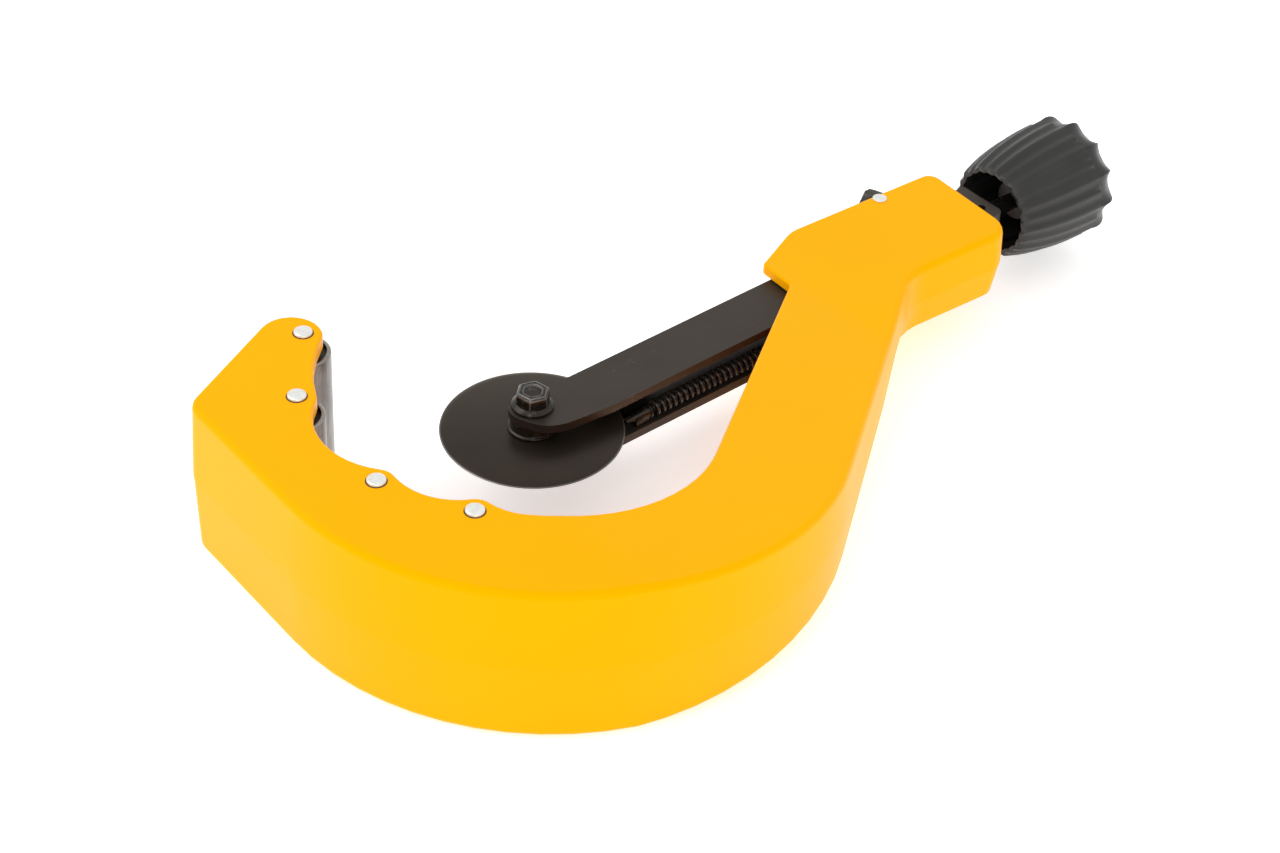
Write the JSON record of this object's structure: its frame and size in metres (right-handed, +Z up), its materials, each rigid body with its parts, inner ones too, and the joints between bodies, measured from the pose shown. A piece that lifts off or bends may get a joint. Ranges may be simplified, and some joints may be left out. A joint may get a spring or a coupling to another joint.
{
  "type": "pipe cutter",
  "caption": "Telescopic cutter for plastic pipe: a C-shaped frame with rollers, a sliding arm with a cutting wheel, a feed screw with a ribbed knob and a release latch.",
  "frame": {"origin": "Centre of the bounding box in plan, on the plane the tool lies on.", "axes": "+X along the feed screw to the knob, +Y away from the frame's arched side, +Z up from the resting plane."},
  "size_m": [0.3982, 0.201, 0.0652],
  "materials": {
    "frame_paint": "satin",
    "black_oxide": "satin",
    "roller_steel": "satin",
    "nickel": "polished",
    "knob_plastic": "satin",
    "bronze": "satin"
  },
  "bodies": {
    "frame": {"frame": "frame_paint", "latch_pin": "nickel", "latch_spring": "nickel", "return_spring": "black_oxide", "rear_spring_post": "nickel", "roller_axle_1": "nickel", "roller_axle_2": "nickel", "roller_axle_3": "nickel", "roller_axle_4": "nickel", "roller_washer_1_bottom": "black_oxide", "roller_washer_1_top": "black_oxide", "roller_washer_2_bottom": "black_oxide", "roller_washer_2_top": "black_oxide", "roller_washer_3_bottom": "black_oxide", "roller_washer_3_top": "black_oxide", "roller_washer_4_bottom": "black_oxide", "roller_washer_4_top": "black_oxide"},
    "slide": {"slide_arm": "black_oxide", "wheel_bush": "bronze", "wheel_spacer_bottom": "black_oxide", "wheel_spacer_top": "black_oxide", "wheel_bolt": "black_oxide", "wheel_nut": "black_oxide", "front_bearing_block": "black_oxide", "front_block_screw": "black_oxide", "tail_bearing_block": "black_oxide", "tail_block_pin": "black_oxide", "front_spring_anchor": "black_oxide"},
    "wheel": {"cutting_wheel": "black_oxide"},
    "feed": {"feed_screw": "black_oxide", "thrust_collar": "black_oxide", "knob": "knob_plastic", "knob_pin": "nickel", "knob_cap": "knob_plastic"},
    "latch": {"release_latch": "black_oxide"},
    "roller_1": {"roller_1": "roller_steel"},
    "roller_2": {"roller_2": "roller_steel"},
    "roller_3": {"roller_3": "roller_steel"},
    "roller_4": {"roller_4": "roller_steel"}
  },
  "joints": [
    {"name": "knob_turn", "type": "hinge", "parent": "slide", "child": "feed", "pos_m": [0.14424, 0.02159, 0.032], "axis": [1, 0, 0], "range_deg": [-721, 12001]},
    {"name": "arm_slide", "type": "slide", "parent": "frame", "child": "slide", "axis": [1, 0, 0], "range_m": [-0.006, 0.1], "deforming": ["return_spring"]},
    {"name": "wheel_spin", "type": "hinge", "parent": "slide", "child": "wheel", "pos_m": [-0.08466, 0.02499, 0.032], "axis": [0, 0, 1], "continuous": true},
    {"name": "latch_press", "type": "hinge", "parent": "frame", "child": "latch", "pos_m": [0.10244, 0.03959, 0.032], "axis": [0, 0, -1], "range_deg": [0, 7.5], "stiffness_Nm_per_rad": 0.5, "springref_deg": -5.73, "deforming": ["latch_spring"]},
    {"name": "roller_1_spin", "type": "hinge", "parent": "frame", "child": "roller_1", "pos_m": [-0.14049, 0.0871, 0.032], "axis": [0, 0, 1], "continuous": true},
    {"name": "roller_2_spin", "type": "hinge", "parent": "frame", "child": "roller_2", "pos_m": [-0.16339, 0.05851, 0.032], "axis": [0, 0, 1], "continuous": true},
    {"name": "roller_3_spin", "type": "hinge", "parent": "frame", "child": "roller_3", "pos_m": [-0.16892, 0.00452, 0.032], "axis": [0, 0, 1], "continuous": true},
    {"name": "roller_4_spin", "type": "hinge", "parent": "frame", "child": "roller_4", "pos_m": [-0.15229, -0.02812, 0.032], "axis": [0, 0, 1], "continuous": true}
  ],
  "couplings": [
    {"joint": "knob_turn", "follows": "arm_slide", "rad_per_m": 2094.4}
  ]
}
